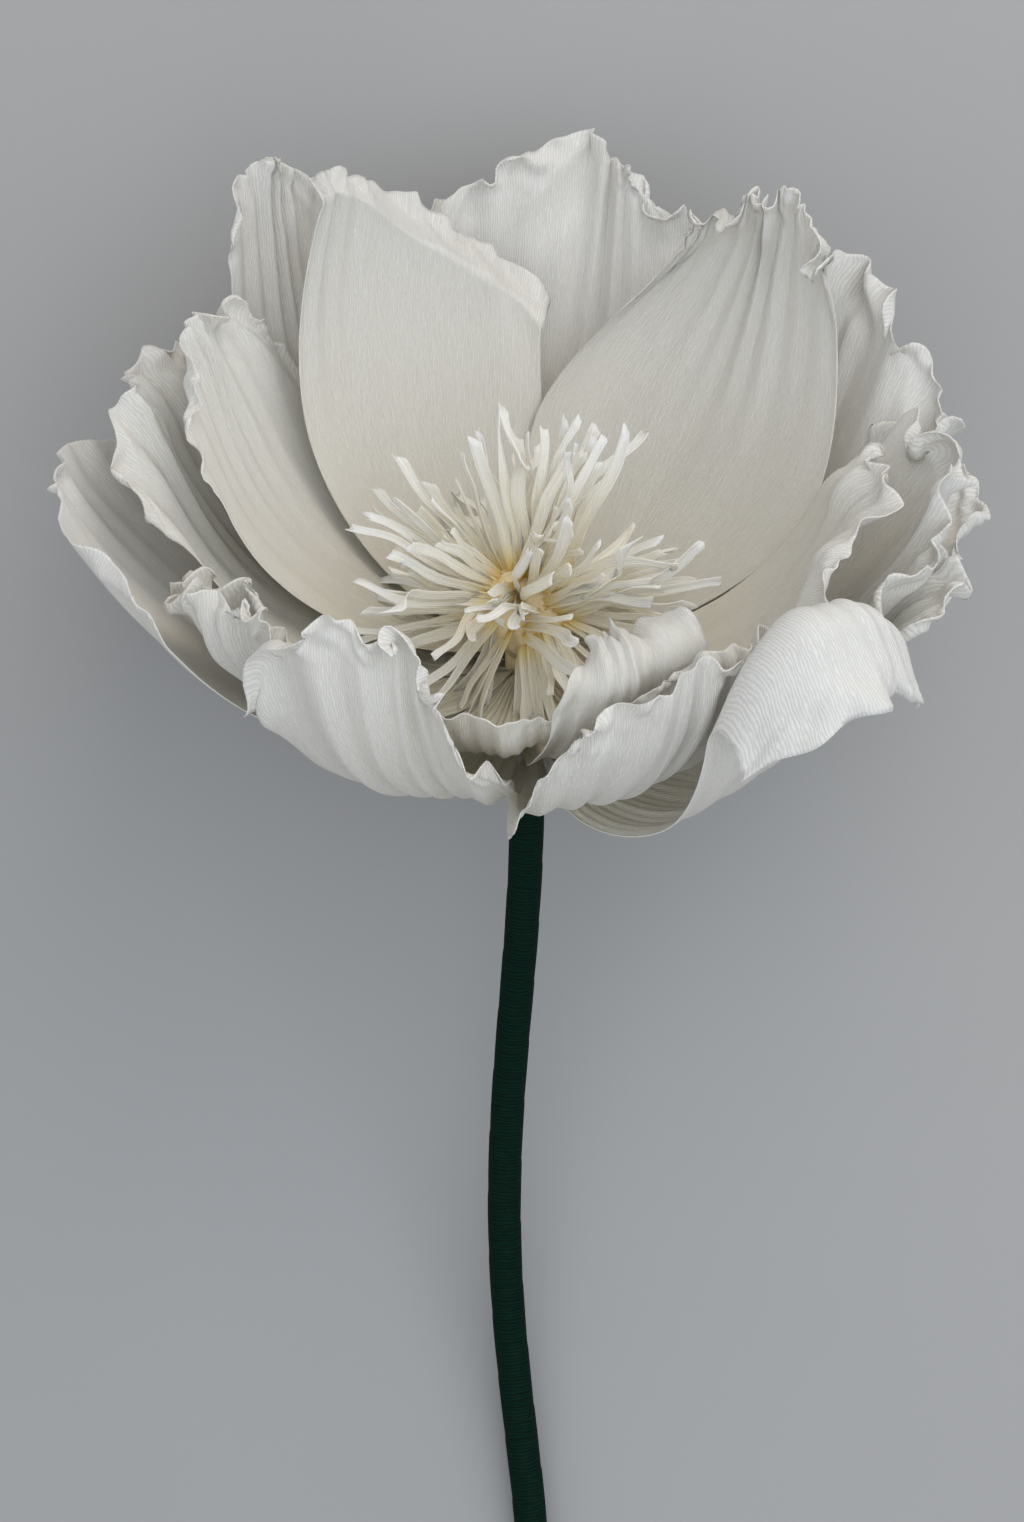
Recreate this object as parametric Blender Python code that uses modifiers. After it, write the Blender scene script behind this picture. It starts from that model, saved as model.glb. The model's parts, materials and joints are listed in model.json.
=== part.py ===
"""Crepe paper peony: a large white paper flower on a wrapped wire stem.

The flower lies on its back, as it comes to rest unheld: the guard petals and the cut
end of the stem touch the surface below it.  Everything in the head is modelled round
the flower's own axis, which is +Z of the empty "head_axis", and that empty tips the
head back.  Units are metres.
"""

import math
from collections import namedtuple

import bmesh
import bpy
import numpy as np
from mathutils import Matrix, Vector

# Paper and clearances
PETAL_PAPER = 0.0005        # heavy crepe, with its grain
FRINGE_PAPER = 0.0004       # thinner crepe of the stamens
SEAT_GAP = 0.0003           # between two pieces that touch

# Attitude of the flower
HEAD_RISE = math.radians(34)    # flower axis above the surface that it lies on
HEAD_ROLL = math.radians(0)     # turn about the stem's direction

# Stem
WIRE_RADIUS = 0.0020
STEM_RADIUS = 0.0054
STEM_REACH = 0.330          # from the head to the cut end, along the surface
NECK_RUN = 0.095            # how far the stem still follows the flower's axis
TAIL_RUN = 0.100            # how far from the tail the stem has levelled out
TAIL_STRAIGHT = 0.012       # straight piece at the cut end
NECK_BOW = 0.004            # sideways bow of the stem, right of its line
TAIL_BOW = 0.010            # sideways bow of the stem, left of its line
STEM_POINTS = 14
STEM_END_SIDE = 0.004       # where the cut end lies, right of the head

# Receptacle, the wound collar that carries the petals' feet
RECEPTACLE_RADIUS = 0.0060
RECEPTACLE_LENGTH = 0.0230

# Core, the covered ball in the middle
CORE_RADIUS = 0.0140
CORE_SOCKET_DEPTH = 0.0090
LATHE_STEPS = 16
CORE_ROWS = 6

# Stamens
FRINGES = 6
FINGERS = 8                 # strips cut in each fringe
BAND_HEIGHT = 0.0040
BAND_SPLIT = math.radians(2.5)  # between neighbouring fringes
FINGER_LENGTH = 0.0400
FINGER_WIDTH = 0.0026
FINGER_FILL = 0.62          # share of its own pitch that a strip may fill
FINGER_STEPS = 2

# Petals
FOOT_STACK = 0.0160         # height over which the feet are stacked
FOOT_HALF_ANGLE = math.radians(30)
SPIRAL = 0.13               # layers that a petal climbs from its middle to its edge
WALL_REACH = 0.100          # run from the foot to the upper wall of the bowl
RIM_REACH = 0.160           # run from the foot to a full-length rim
CURL_SHARE = 0.5            # share of its flap in which a rim turns over
CURL_CROWD = 3.0            # how much closer the rows of points are there
PLEATS = 4                  # gathers across a petal
PLEAT_DEPTH = 0.0009
ROWS = 10
COLUMNS = 8
FINER = 4                   # surface points worked out for each point kept

# Slope of the bowl above the horizontal, in degrees: at the foot, at WALL_REACH and at
# RIM_REACH.  Inner and outer layer, on the side away from the stem's bend (back), at
# the two sides and on the near side (front).
BOWL = {
    "back": ((-2, 60, 78), (-14, 42, 58)),
    "side": ((-8, 58, 80), (-18, 38, 58)),
    "front": ((-20, 75, 112), (-28, 58, 100)),
}

# One row for each petal.  azimuth: degrees round the axis, 90 is the back; layer: 0 is
# innermost, 1 outermost; length in metres; half_width in degrees round the axis;
# shoulder: share by which its sides are shorter than its middle; slant: share by which
# its left side is longer than its right; lean: degrees that it closes (+) or opens (-)
# by its rim; curl: degrees that its rim turns in (+) or out (-); flap: run from where
# it starts to turn to the rim, in metres; ruffle: depth of its waves in metres; waves:
# how many; phase: 0 to 1; taper: share by which it narrows towards its rim; sway:
# degrees that its rim is turned to the left.
Petal = namedtuple(
    "Petal",
    "name azimuth layer length half_width shoulder slant lean curl flap ruffle waves phase "
    "taper sway",
)
PETALS = (
    Petal("inner_petal_1", 116, 0.12, 0.166, 29, 0.08, 0.14, 22, -80, 0.018, 0.0010, 1, 0.10, 0.15, -5),
    Petal("inner_petal_2", 56, 0.12, 0.178, 36, 0.10, -0.05, 12, 10, 0.024, 0.0018, 1, 0.60, 0.60, -12),
    Petal("inner_petal_3", -14, 0.10, 0.132, 24, 0.10, 0.00, 15, -40, 0.020, 0.0030, 2, 0.20, 0.00, 0),
    Petal("inner_petal_4", -70, 0.16, 0.124, 20, 0.15, 0.05, 8, 110, 0.034, 0.0020, 2, 0.40, 0.25, 0),
    Petal("inner_petal_5", -108, 0.20, 0.090, 26, 0.12, 0.00, 8, 10, 0.024, 0.0020, 2, 0.80, 0.00, 0),
    Petal("inner_petal_6", 154, 0.06, 0.150, 26, 0.25, 0.00, 8, -10, 0.024, 0.0025, 2, 0.00, 0.10, 0),
    Petal("middle_petal_1", 82, 0.46, 0.186, 28, 0.20, 0.00, 0, 0, 0.024, 0.0022, 3, 0.30, 0.15, 0),
    Petal("middle_petal_2", 128, 0.42, 0.190, 22, 0.15, 0.05, 3, 0, 0.024, 0.0020, 2, 0.70, 0.35, -3),
    Petal("middle_petal_3", 158, 0.45, 0.156, 28, 0.20, 0.00, 4, -20, 0.024, 0.0030, 3, 0.15, 0.10, -2),
    Petal("middle_petal_4", 38, 0.45, 0.172, 29, 0.15, 0.00, 2, -5, 0.024, 0.0035, 3, 0.55, 0.15, 0),
    Petal("middle_petal_5", -4, 0.45, 0.152, 27, 0.20, 0.05, 2, -10, 0.024, 0.0035, 3, 0.90, 0.00, 0),
    Petal("middle_petal_6", -54, 0.44, 0.120, 23, 0.25, 0.00, 10, 0, 0.024, 0.0020, 2, 0.25, 0.00, 0),
    Petal("middle_petal_7", -154, 0.32, 0.118, 22, 0.22, 0.00, 9, 10, 0.024, 0.0020, 3, 0.45, 0.00, 0),
    Petal("outer_petal_1", 97, 0.70, 0.178, 26, 0.15, 0.00, 0, -10, 0.024, 0.0026, 3, 0.35, 0.00, 0),
    Petal("outer_petal_2", 52, 1.06, 0.168, 26, 0.12, 0.00, -18, -5, 0.024, 0.0030, 3, 0.75, 0.00, 0),
    Petal("outer_petal_3", 23, 0.82, 0.156, 28, 0.18, 0.00, 2, -20, 0.024, 0.0030, 3, 0.05, 0.00, 0),
    Petal("outer_petal_4", -14, 0.80, 0.144, 17, 0.20, 0.00, 7, -25, 0.024, 0.0020, 2, 0.50, 0.00, 0),
    Petal("outer_petal_5", -47, 1.30, 0.206, 15, 0.14, 0.00, 19, -165, 0.046, 0.0010, 1, 0.85, 0.00, 0),
    Petal("outer_petal_6", -68, 0.86, 0.132, 29, 0.34, 0.15, 12, 5, 0.024, 0.0020, 2, 0.20, 0.00, 2),
    Petal("outer_petal_7", -112, 0.92, 0.144, 22, 0.30, -0.17, 18, 0, 0.024, 0.0030, 2, 0.60, 0.00, -3),
    Petal("outer_petal_8", -149, 0.56, 0.130, 26, 0.25, 0.00, 11, 0, 0.024, 0.0020, 3, 0.30, 0.00, 0),
    Petal("outer_petal_9", 178, 0.84, 0.164, 31, 0.14, 0.00, 0, 0, 0.024, 0.0020, 2, 0.40, 0.05, 0),
    Petal("outer_petal_10", 131, 1.10, 0.164, 25, 0.12, 0.00, -14, -5, 0.024, 0.0030, 3, 0.95, 0.00, 0),
)


# Small tools

def smooth(value):
    """Ease from 0 to 1."""
    value = np.clip(value, 0, 1)
    return value * value * (3 - 2 * value)


def follow_arc(radius, height, slope, turn, run):
    """Go on along a circular arc that turns by `turn` radians a metre for `run` metres."""
    turn = np.where(np.abs(turn) < 1e-3, 1e-3, turn)
    end = slope + turn * run
    radius = radius + (np.sin(end) - np.sin(slope)) / turn
    height = height + (np.cos(slope) - np.cos(end)) / turn
    return radius, height, end


def paper_material(name, color, roughness):
    material = bpy.data.materials.new(name)
    material.use_nodes = True
    shader = material.node_tree.nodes["Principled BSDF"]
    shader.inputs["Base Color"].default_value = (*color, 1)
    shader.inputs["Roughness"].default_value = roughness
    return material


def add_object(name, data, collection, parent, material):
    piece = bpy.data.objects.new(name, data)
    piece.data.materials.append(material)
    piece.parent = parent
    collection.objects.link(piece)
    return piece


def thicken(piece, thickness, offset=0.0):
    wall = piece.modifiers.new("Paper", "SOLIDIFY")
    wall.thickness = thickness
    wall.offset = offset


# Petals

def bowl_slopes(layer, azimuth):
    """Slopes in radians of the nested bowls at a layer and an azimuth."""
    back = np.clip(np.sin(azimuth), 0, 1) ** 2
    front = np.clip(-np.sin(azimuth), 0, 1) ** 2
    side = 1 - back - front
    slopes = []
    for station in range(3):
        blend = 0
        for share, place in ((back, "back"), (side, "side"), (front, "front")):
            inner, outer = BOWL[place][0][station], BOWL[place][1][station]
            blend = blend + share * (inner + (outer - inner) * layer)
        slopes.append(np.radians(blend))
    return slopes


def row_shares(petal, rows):
    """Shares of the length at which the rows lie, closer together where the rim turns."""
    share = np.linspace(0, 1, 400)
    start = 1 - petal.flap / petal.length
    end = start + petal.flap * CURL_SHARE / petal.length
    crowd = 1 + CURL_CROWD * abs(petal.curl) / 180 * ((share > start) & (share < end))
    total = np.cumsum(crowd)
    total = (total - total[0]) / (total[-1] - total[0])
    return np.interp(np.linspace(0, 1, rows + 1), total, share)


def petal_surface(petal, rows, columns):
    """Points of a petal's sheet, as an array of rows + 1 by columns + 1 by 3."""
    along = row_shares(petal, rows)[:, None]
    across = np.linspace(-1, 1, columns + 1)[None, :]

    rim = petal.length * (1 - petal.shoulder * np.abs(across) ** 2.5 + petal.slant * across)
    reach = along * rim
    spread = FOOT_HALF_ANGLE + (math.radians(petal.half_width) - FOOT_HALF_ANGLE) * smooth(2 * along)
    spread = spread * (1 - petal.taper * smooth(2 * along - 1))
    azimuth = np.radians(petal.azimuth + petal.sway * along ** 2) + spread * across
    layer = petal.layer - SPIRAL * across + 0 * along

    foot, wall, top = bowl_slopes(layer, azimuth)
    lean = math.radians(petal.lean) / RIM_REACH
    foot_turn = (wall - foot) / WALL_REACH + lean
    wall_turn = (top - wall) / (RIM_REACH - WALL_REACH) + lean
    curl_run = petal.flap * CURL_SHARE
    curl_turn = wall_turn + math.radians(petal.curl) / curl_run
    curl_start = np.maximum(rim - petal.flap, WALL_REACH)
    curl_end = curl_start + curl_run

    radius = RECEPTACLE_RADIUS + SEAT_GAP + 0 * layer
    height = -SEAT_GAP - FOOT_STACK * layer
    runs = (
        (foot_turn, np.minimum(reach, WALL_REACH)),
        (wall_turn, np.clip(reach, WALL_REACH, curl_start) - WALL_REACH),
        (curl_turn, np.clip(reach, curl_start, curl_end) - curl_start),
        (lean, np.maximum(reach - curl_end, 0)),
    )
    slope = foot
    for turn, run in runs:
        radius, height, slope = follow_arc(radius, height, slope, turn, run)

    points = np.stack((radius * np.cos(azimuth), radius * np.sin(azimuth), height), axis=-1)
    normal = np.cross(np.gradient(points, axis=1), np.gradient(points, axis=0))
    normal /= np.linalg.norm(normal, axis=-1, keepdims=True)

    wave = math.tau * (petal.waves * across / 2 + petal.phase)
    ruffle = petal.ruffle * along ** 2 * (np.sin(wave) + 0.6 * along ** 4 * np.sin(2.3 * wave + 1))
    pleat = PLEAT_DEPTH * np.sin(math.pi * along) * np.cos(math.pi * PLEATS * across)
    return points + normal * (ruffle + pleat)[..., None]


def sheet_mesh(name, points):
    """Mesh of quads over a grid of points."""
    rows, columns = points.shape[0], points.shape[1]
    vertices = points.reshape(-1, 3).tolist()
    faces = []
    for row in range(rows - 1):
        for column in range(columns - 1):
            corner = row * columns + column
            faces.append((corner, corner + 1, corner + columns + 1, corner + columns))
    mesh = bpy.data.meshes.new(name)
    mesh.from_pydata(vertices, [], faces)
    return mesh


def add_petal(petal, collection, parent, material):
    fine = petal_surface(petal, ROWS * FINER, COLUMNS * FINER)
    mesh = sheet_mesh(petal.name, fine[::FINER, ::FINER])
    mesh.shade_smooth()
    piece = add_object(petal.name, mesh, collection, parent, material)
    thicken(piece, PETAL_PAPER)
    return piece


# Turned pieces: core and receptacle

def add_turned(name, profile, closed, collection, parent, material):
    """Turn a profile of (radius, height) points, given down its outer side."""
    count = len(profile)
    edges = [(index, index + 1) for index in range(count - 1)]
    if closed:
        edges.append((count - 1, 0))
    mesh = bpy.data.meshes.new(name)
    mesh.from_pydata([(radius, 0, height) for radius, height in profile], edges, [])
    piece = add_object(name, mesh, collection, parent, material)
    turn = piece.modifiers.new("Turned", "SCREW")
    turn.steps = LATHE_STEPS
    turn.render_steps = LATHE_STEPS
    turn.use_merge_vertices = True
    turn.merge_threshold = 0.00005
    return piece


def core_height():
    """Height of the core's middle over the receptacle's top."""
    return SEAT_GAP + CORE_RADIUS


def add_core(collection, parent, material):
    """Ball with a socket underneath for the end of the wire."""
    middle = core_height()
    socket = WIRE_RADIUS + SEAT_GAP
    lowest = math.pi - math.asin(socket / CORE_RADIUS)
    profile = []
    for row in range(CORE_ROWS + 1):
        angle = lowest * row / CORE_ROWS
        profile.append((CORE_RADIUS * math.sin(angle), middle + CORE_RADIUS * math.cos(angle)))
    top = profile[-1][1] + CORE_SOCKET_DEPTH
    profile.append((socket, top))
    profile.append((0, top))
    return add_turned("flower_core", profile, False, collection, parent, material)


def add_receptacle(collection, parent, material):
    """Wound collar round the top of the wire."""
    bore = WIRE_RADIUS + SEAT_GAP
    profile = (
        (bore, 0),
        (RECEPTACLE_RADIUS, 0),
        (RECEPTACLE_RADIUS, -RECEPTACLE_LENGTH),
        (bore, -RECEPTACLE_LENGTH),
    )
    return add_turned("receptacle", profile, True, collection, parent, material)


# Stamens

def finger_points(number, azimuth, half_pitch, root_radius, root_height):
    """Left and right edge points of one strip, from its root outwards."""
    rise = math.radians((18, 52, 34, 68)[number % 4])
    twist = math.radians((35, -50, 60, -30, 45)[number % 5])
    bend = math.radians((8, -10, 14, -6, 4, -12, 10)[number % 7])
    length = FINGER_LENGTH * (0.82, 1.0, 0.9, 1.06, 0.95)[number % 5]
    left, right = [], []
    radius, height = root_radius, root_height
    for step in range(FINGER_STEPS + 1):
        share = step / FINGER_STEPS
        width = min(FINGER_WIDTH, 2 * half_pitch * radius * FINGER_FILL)
        turned = twist * share
        side = width / 2 * math.cos(turned)
        lift = width / 2 * math.sin(turned)
        outward = Vector((math.cos(azimuth), math.sin(azimuth), 0))
        sideways = Vector((-math.sin(azimuth), math.cos(azimuth), 0))
        middle = outward * radius + Vector((0, 0, height))
        left.append(middle - sideways * side - Vector((0, 0, lift)))
        right.append(middle + sideways * side + Vector((0, 0, lift)))
        slope = rise + bend * share
        radius += length / FINGER_STEPS * math.cos(slope)
        height += length / FINGER_STEPS * math.sin(slope)
    return left, right


def add_fringe(number, collection, parent, material):
    """One strip of crepe round a sector of the core, its upper side cut into strips."""
    name = f"stamen_fringe_{number + 1}"
    sector = math.tau / FRINGES
    start = sector * number + BAND_SPLIT / 2
    pitch = (sector - BAND_SPLIT) / FINGERS
    radius = CORE_RADIUS + SEAT_GAP + FRINGE_PAPER / 2
    top = core_height() + BAND_HEIGHT / 2
    bottom = top - BAND_HEIGHT

    shape = bmesh.new()
    previous = None
    for finger in range(FINGERS):
        middle = start + pitch * (finger + 0.5)
        left, right = finger_points(number * 3 + finger, middle, pitch / 2, radius, top)
        root = FINGER_FILL * pitch / 2
        below = []
        for angle in (middle - root, middle + root):
            below.append(shape.verts.new((radius * math.cos(angle), radius * math.sin(angle), bottom)))
        edge = (shape.verts.new(left[0]), shape.verts.new(right[0]))
        shape.faces.new((below[0], below[1], edge[1], edge[0]))
        if previous:
            shape.faces.new((previous[0], below[0], edge[0], previous[1]))
        previous = (below[1], edge[1])
        for step in range(1, FINGER_STEPS + 1):
            tip = (shape.verts.new(left[step]), shape.verts.new(right[step]))
            shape.faces.new((edge[0], edge[1], tip[1], tip[0]))
            edge = tip
    mesh = bpy.data.meshes.new(name)
    shape.to_mesh(mesh)
    shape.free()
    piece = add_object(name, mesh, collection, parent, material)
    thicken(piece, FRINGE_PAPER)
    return piece


# Stem

def stem_line(surface):
    """Points along the middle of the wrapped stem, from the head to the cut end."""
    down = Vector((0, -math.cos(HEAD_RISE), -math.sin(HEAD_RISE)))
    start = down * (RECEPTACLE_LENGTH + SEAT_GAP)
    cut = Vector((STEM_END_SIDE, -STEM_REACH, surface + STEM_RADIUS))
    end = cut + Vector((0, TAIL_STRAIGHT, 0))
    neck = start + down * NECK_RUN + Vector((NECK_BOW, 0, 0))
    tail = end + Vector((0, TAIL_RUN, 0))
    points = []
    for index in range(STEM_POINTS + 1):
        share = index / STEM_POINTS
        rest = 1 - share
        points.append(
            rest**3 * start + 3 * rest**2 * share * neck + 3 * rest * share**2 * tail + share**3 * end
        )
        points[-1].x -= TAIL_BOW * math.sin(math.pi * share ** 1.2) ** 2
    points.append(cut)
    return points


def add_rod(name, points, radius, filled, collection, parent, material):
    curve = bpy.data.curves.new(name, "CURVE")
    curve.dimensions = "3D"
    curve.bevel_depth = radius
    curve.bevel_resolution = 2
    curve.use_fill_caps = filled
    line = curve.splines.new("POLY")
    line.points.add(len(points) - 1)
    for point, place in zip(line.points, points):
        point.co = (*place, 1)
    return add_object(name, curve, collection, parent, material)


# Assembly

def lowest_point(pieces, turn):
    """Lowest height that the given sheets reach once the head is tipped back."""
    lowest = 0
    for piece in pieces:
        for vertex in piece.data.vertices:
            lowest = min(lowest, (turn @ vertex.co).z)
    return lowest - PETAL_PAPER / 2


def set_on_origin(base, pieces):
    """Move the base so that the flower stands over the origin, on the plane z = 0."""
    graph = bpy.context.evaluated_depsgraph_get()
    corners = []
    for piece in pieces:
        evaluated = piece.evaluated_get(graph)
        mesh = evaluated.to_mesh()
        corners.extend(evaluated.matrix_world @ vertex.co for vertex in mesh.vertices)
        evaluated.to_mesh_clear()
    low = [min(corner[axis] for corner in corners) for axis in range(3)]
    high = [max(corner[axis] for corner in corners) for axis in range(3)]
    base.location = (-(low[0] + high[0]) / 2, -(low[1] + high[1]) / 2, -low[2])


def main():
    for old in list(bpy.data.objects):
        bpy.data.objects.remove(old, do_unlink=True)
    collection = bpy.data.collections.new("crepe_paper_peony")
    bpy.context.scene.collection.children.link(collection)

    white = paper_material("white_crepe", (0.78, 0.77, 0.73), 0.85)
    cream = paper_material("cream_crepe", (0.84, 0.76, 0.56), 0.85)
    green = paper_material("green_crepe", (0.006, 0.030, 0.022), 0.7)
    steel = paper_material("steel_wire", (0.45, 0.45, 0.46), 0.35)
    steel.node_tree.nodes["Principled BSDF"].inputs["Metallic"].default_value = 1

    base = bpy.data.objects.new("set_down", None)
    head = bpy.data.objects.new("head_axis", None)
    for empty in (base, head):
        collection.objects.link(empty)
    head.parent = base
    turn = Matrix.Rotation(HEAD_ROLL, 3, "Y") @ Matrix.Rotation(HEAD_RISE - math.pi / 2, 3, "X")
    head.rotation_euler = turn.to_euler()

    petals = [add_petal(petal, collection, head, white) for petal in PETALS]
    pieces = list(petals)
    pieces.append(add_core(collection, head, cream))
    pieces.append(add_receptacle(collection, head, cream))
    for number in range(FRINGES):
        pieces.append(add_fringe(number, collection, head, cream))

    surface = lowest_point(petals, turn)
    stem = stem_line(surface)
    wire_top = turn @ Vector((0, 0, CORE_SOCKET_DEPTH))
    wrap = add_rod("stem_wrap", stem, STEM_RADIUS, False, collection, base, green)
    thicken(wrap, STEM_RADIUS - WIRE_RADIUS - SEAT_GAP, -1)
    wire = add_rod("stem_wire", [wire_top] + stem, WIRE_RADIUS, True, collection, base, steel)
    pieces += [wrap, wire]

    bpy.context.view_layer.update()
    set_on_origin(base, pieces)
    bpy.context.view_layer.update()


main()
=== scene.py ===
import json
import math
from collections import namedtuple

import bmesh
import bpy
import numpy as np
from mathutils import Matrix, Vector

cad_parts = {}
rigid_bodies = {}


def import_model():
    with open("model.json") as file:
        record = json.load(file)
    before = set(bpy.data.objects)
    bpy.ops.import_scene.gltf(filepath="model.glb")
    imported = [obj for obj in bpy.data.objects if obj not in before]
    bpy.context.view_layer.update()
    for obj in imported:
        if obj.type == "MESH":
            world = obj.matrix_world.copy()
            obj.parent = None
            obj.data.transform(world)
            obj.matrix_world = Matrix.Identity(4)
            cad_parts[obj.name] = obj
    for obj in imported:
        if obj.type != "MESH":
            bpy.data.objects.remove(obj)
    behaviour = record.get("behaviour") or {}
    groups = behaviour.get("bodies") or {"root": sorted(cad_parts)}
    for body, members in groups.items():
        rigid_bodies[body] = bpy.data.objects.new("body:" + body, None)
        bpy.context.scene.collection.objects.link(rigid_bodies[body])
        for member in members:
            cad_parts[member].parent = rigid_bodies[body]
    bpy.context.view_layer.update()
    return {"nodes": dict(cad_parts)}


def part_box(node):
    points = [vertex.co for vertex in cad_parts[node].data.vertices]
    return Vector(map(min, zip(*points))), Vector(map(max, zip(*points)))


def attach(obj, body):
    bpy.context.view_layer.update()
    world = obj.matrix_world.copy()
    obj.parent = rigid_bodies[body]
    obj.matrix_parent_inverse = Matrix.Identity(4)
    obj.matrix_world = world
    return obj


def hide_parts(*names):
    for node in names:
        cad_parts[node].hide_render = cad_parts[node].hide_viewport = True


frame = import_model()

bl_info = {
    "name": "Crepe paper peony",
    "version": (1, 0, 0),
    "blender": (4, 5, 0),
    "location": "View3D > Sidebar > Peony",
    "description": "Dresses a large crepe paper peony that lies on its back",
    "category": "Object",
}

BODY = "root"
MM = 0.001

# Head: the same values as in the flower's solids
HEAD_RISE = math.radians(34)    # flower axis above the surface that it lies on
HEAD_ROLL = math.radians(0)     # turn about the stem's direction
RECEPTACLE_RADIUS = 0.0060
RECEPTACLE_LENGTH = 0.0230
SEAT_GAP = 0.0003               # between two pieces that touch
CORE_RADIUS = 0.0140
FOOT_STACK = 0.0160             # height over which the petals' feet are stacked
FOOT_HALF_ANGLE = math.radians(30)
SPIRAL = 0.13                   # layers that a petal climbs from its middle to its edge
WALL_REACH = 0.100              # run from the foot to the upper wall of the bowl
RIM_REACH = 0.160               # run from the foot to a full-length rim
CURL_SHARE = 0.5                # share of its flap in which a rim turns over
PLEATS = 4                      # gathers across a petal

# Slope of the bowl above the horizontal, in degrees: at the foot, at WALL_REACH and at
# RIM_REACH. Inner and outer layer, on the side away from the stem's bend (back), at the
# two sides and on the near side (front).
BOWL = {
    "back": ((-2, 60, 78), (-14, 42, 58)),
    "side": ((-8, 58, 80), (-18, 38, 58)),
    "front": ((-20, 75, 112), (-28, 58, 100)),
}

# Stem: the same values as in its solids
STEM_RADIUS = 0.0054
WIRE_RADIUS = 0.0020
NECK_RUN = 0.095                # how far the stem still follows the flower's axis
TAIL_RUN = 0.100                # how far from the tail the stem has levelled out
TAIL_STRAIGHT = 0.012           # straight piece at the cut end
NECK_BOW = 0.004                # sideways bow of the stem, right of its line
TAIL_BOW = 0.010                # sideways bow of the stem, left of its line
STEM_END_SIDE = 0.004           # where the cut end lies, right of the head

# The photograph's frame: one pixel is 0.30 mm on the plane through the petals' feet
PIXEL = 0.0003
PHOTO_SIZE = (1024, 1522)
FEET_PIXEL = (525, 650)

# Hand work on the petals, finer than the solids show
CREASED = {"inner_petal_1": 0.16}   # petals creased, not rolled: share of the flap that turns
PLEATED = "inner_petal_5"       # the petal whose foot pleats reach its rim
PLEAT_DEPTH = 0.0004            # shallower than in the solids, as the creases lie over it
DEEP_CREASES = 1.25             # depth of sharp ridges, in crease depths
SHARP_FROM = 6                  # creases on a petal from which they are sharp ridges
PINCH_WIDTH = 0.42              # half widths that a pinch in the rim spreads over
PINCH_FOLDS = 4.5               # folds across half a petal that run to a pinch
CORNER_TRIM = 0.020             # cut off the corners of a rim that is rolled outwards
RIM_RADIUS = 0.105              # from the flower's axis to a rim, for lengths along rims
FOOT_PLEATS = 7                 # pleats across half a foot
FOLD_LEAST = 0.002              # narrowest folded edge
CURL_CROWD = 3.0                # how much closer the rows of points are where a rim turns
CURL_MARGINS = (0.04, 0.07)     # shares of the length by which that stretch is wider
RIM_CROWD = 1.8                 # and how much closer they are near the rim
RIM_CROWD_RUN = 0.035           # width of that stretch
ROW_SAMPLES = 800               # places looked at to find where the rows lie
STRAIGHT = 1e-3                 # radians a metre, below which an arc counts as straight

# Waves of the rim, coarse to fine: shortest and longest in metres, the width of the edge
# that they take up, in rim bands, and their height, in rim ruffles
RIM_WAVES = (
    ((0.032, 0.060), 1.50, 1.10),
    ((0.016, 0.026), 0.90, 0.75),
    ((0.008, 0.013), 0.60, 0.65),
    ((0.0045, 0.007), 0.45, 0.32),
)

# One row for each petal, with the solids' own values first, save that three ruffles on the
# left (inner_petal_6, middle_petal_3, outer_petal_9) are calmer here. azimuth: degrees round the
# axis, 90 is the back; layer: 0 is innermost, 1 outermost; length in metres; half_width in
# degrees round the axis; shoulder: share by which its sides are shorter than its middle;
# slant: share by which its left side is longer than its right; lean: degrees that it closes
# (+) or opens (-) by its rim; curl: degrees that its rim turns in (+) or out (-); flap: run
# from where it starts to turn to the rim, in metres; ruffle: depth of its waves in metres;
# waves: how many; phase: 0 to 1; taper: share by which it narrows towards its rim; sway:
# degrees that its rim is turned to the left.
# The last four are only looks. crumple: how crumpled its rim is; creases: how many long
# ones; pinch: where its rim is pinched, from -1 right to 1 left as seen from the flower's
# middle; gather: how strongly.
Petal = namedtuple(
    "Petal",
    "name azimuth layer length half_width shoulder slant lean curl flap ruffle waves phase "
    "taper sway crumple creases pinch gather",
)
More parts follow.
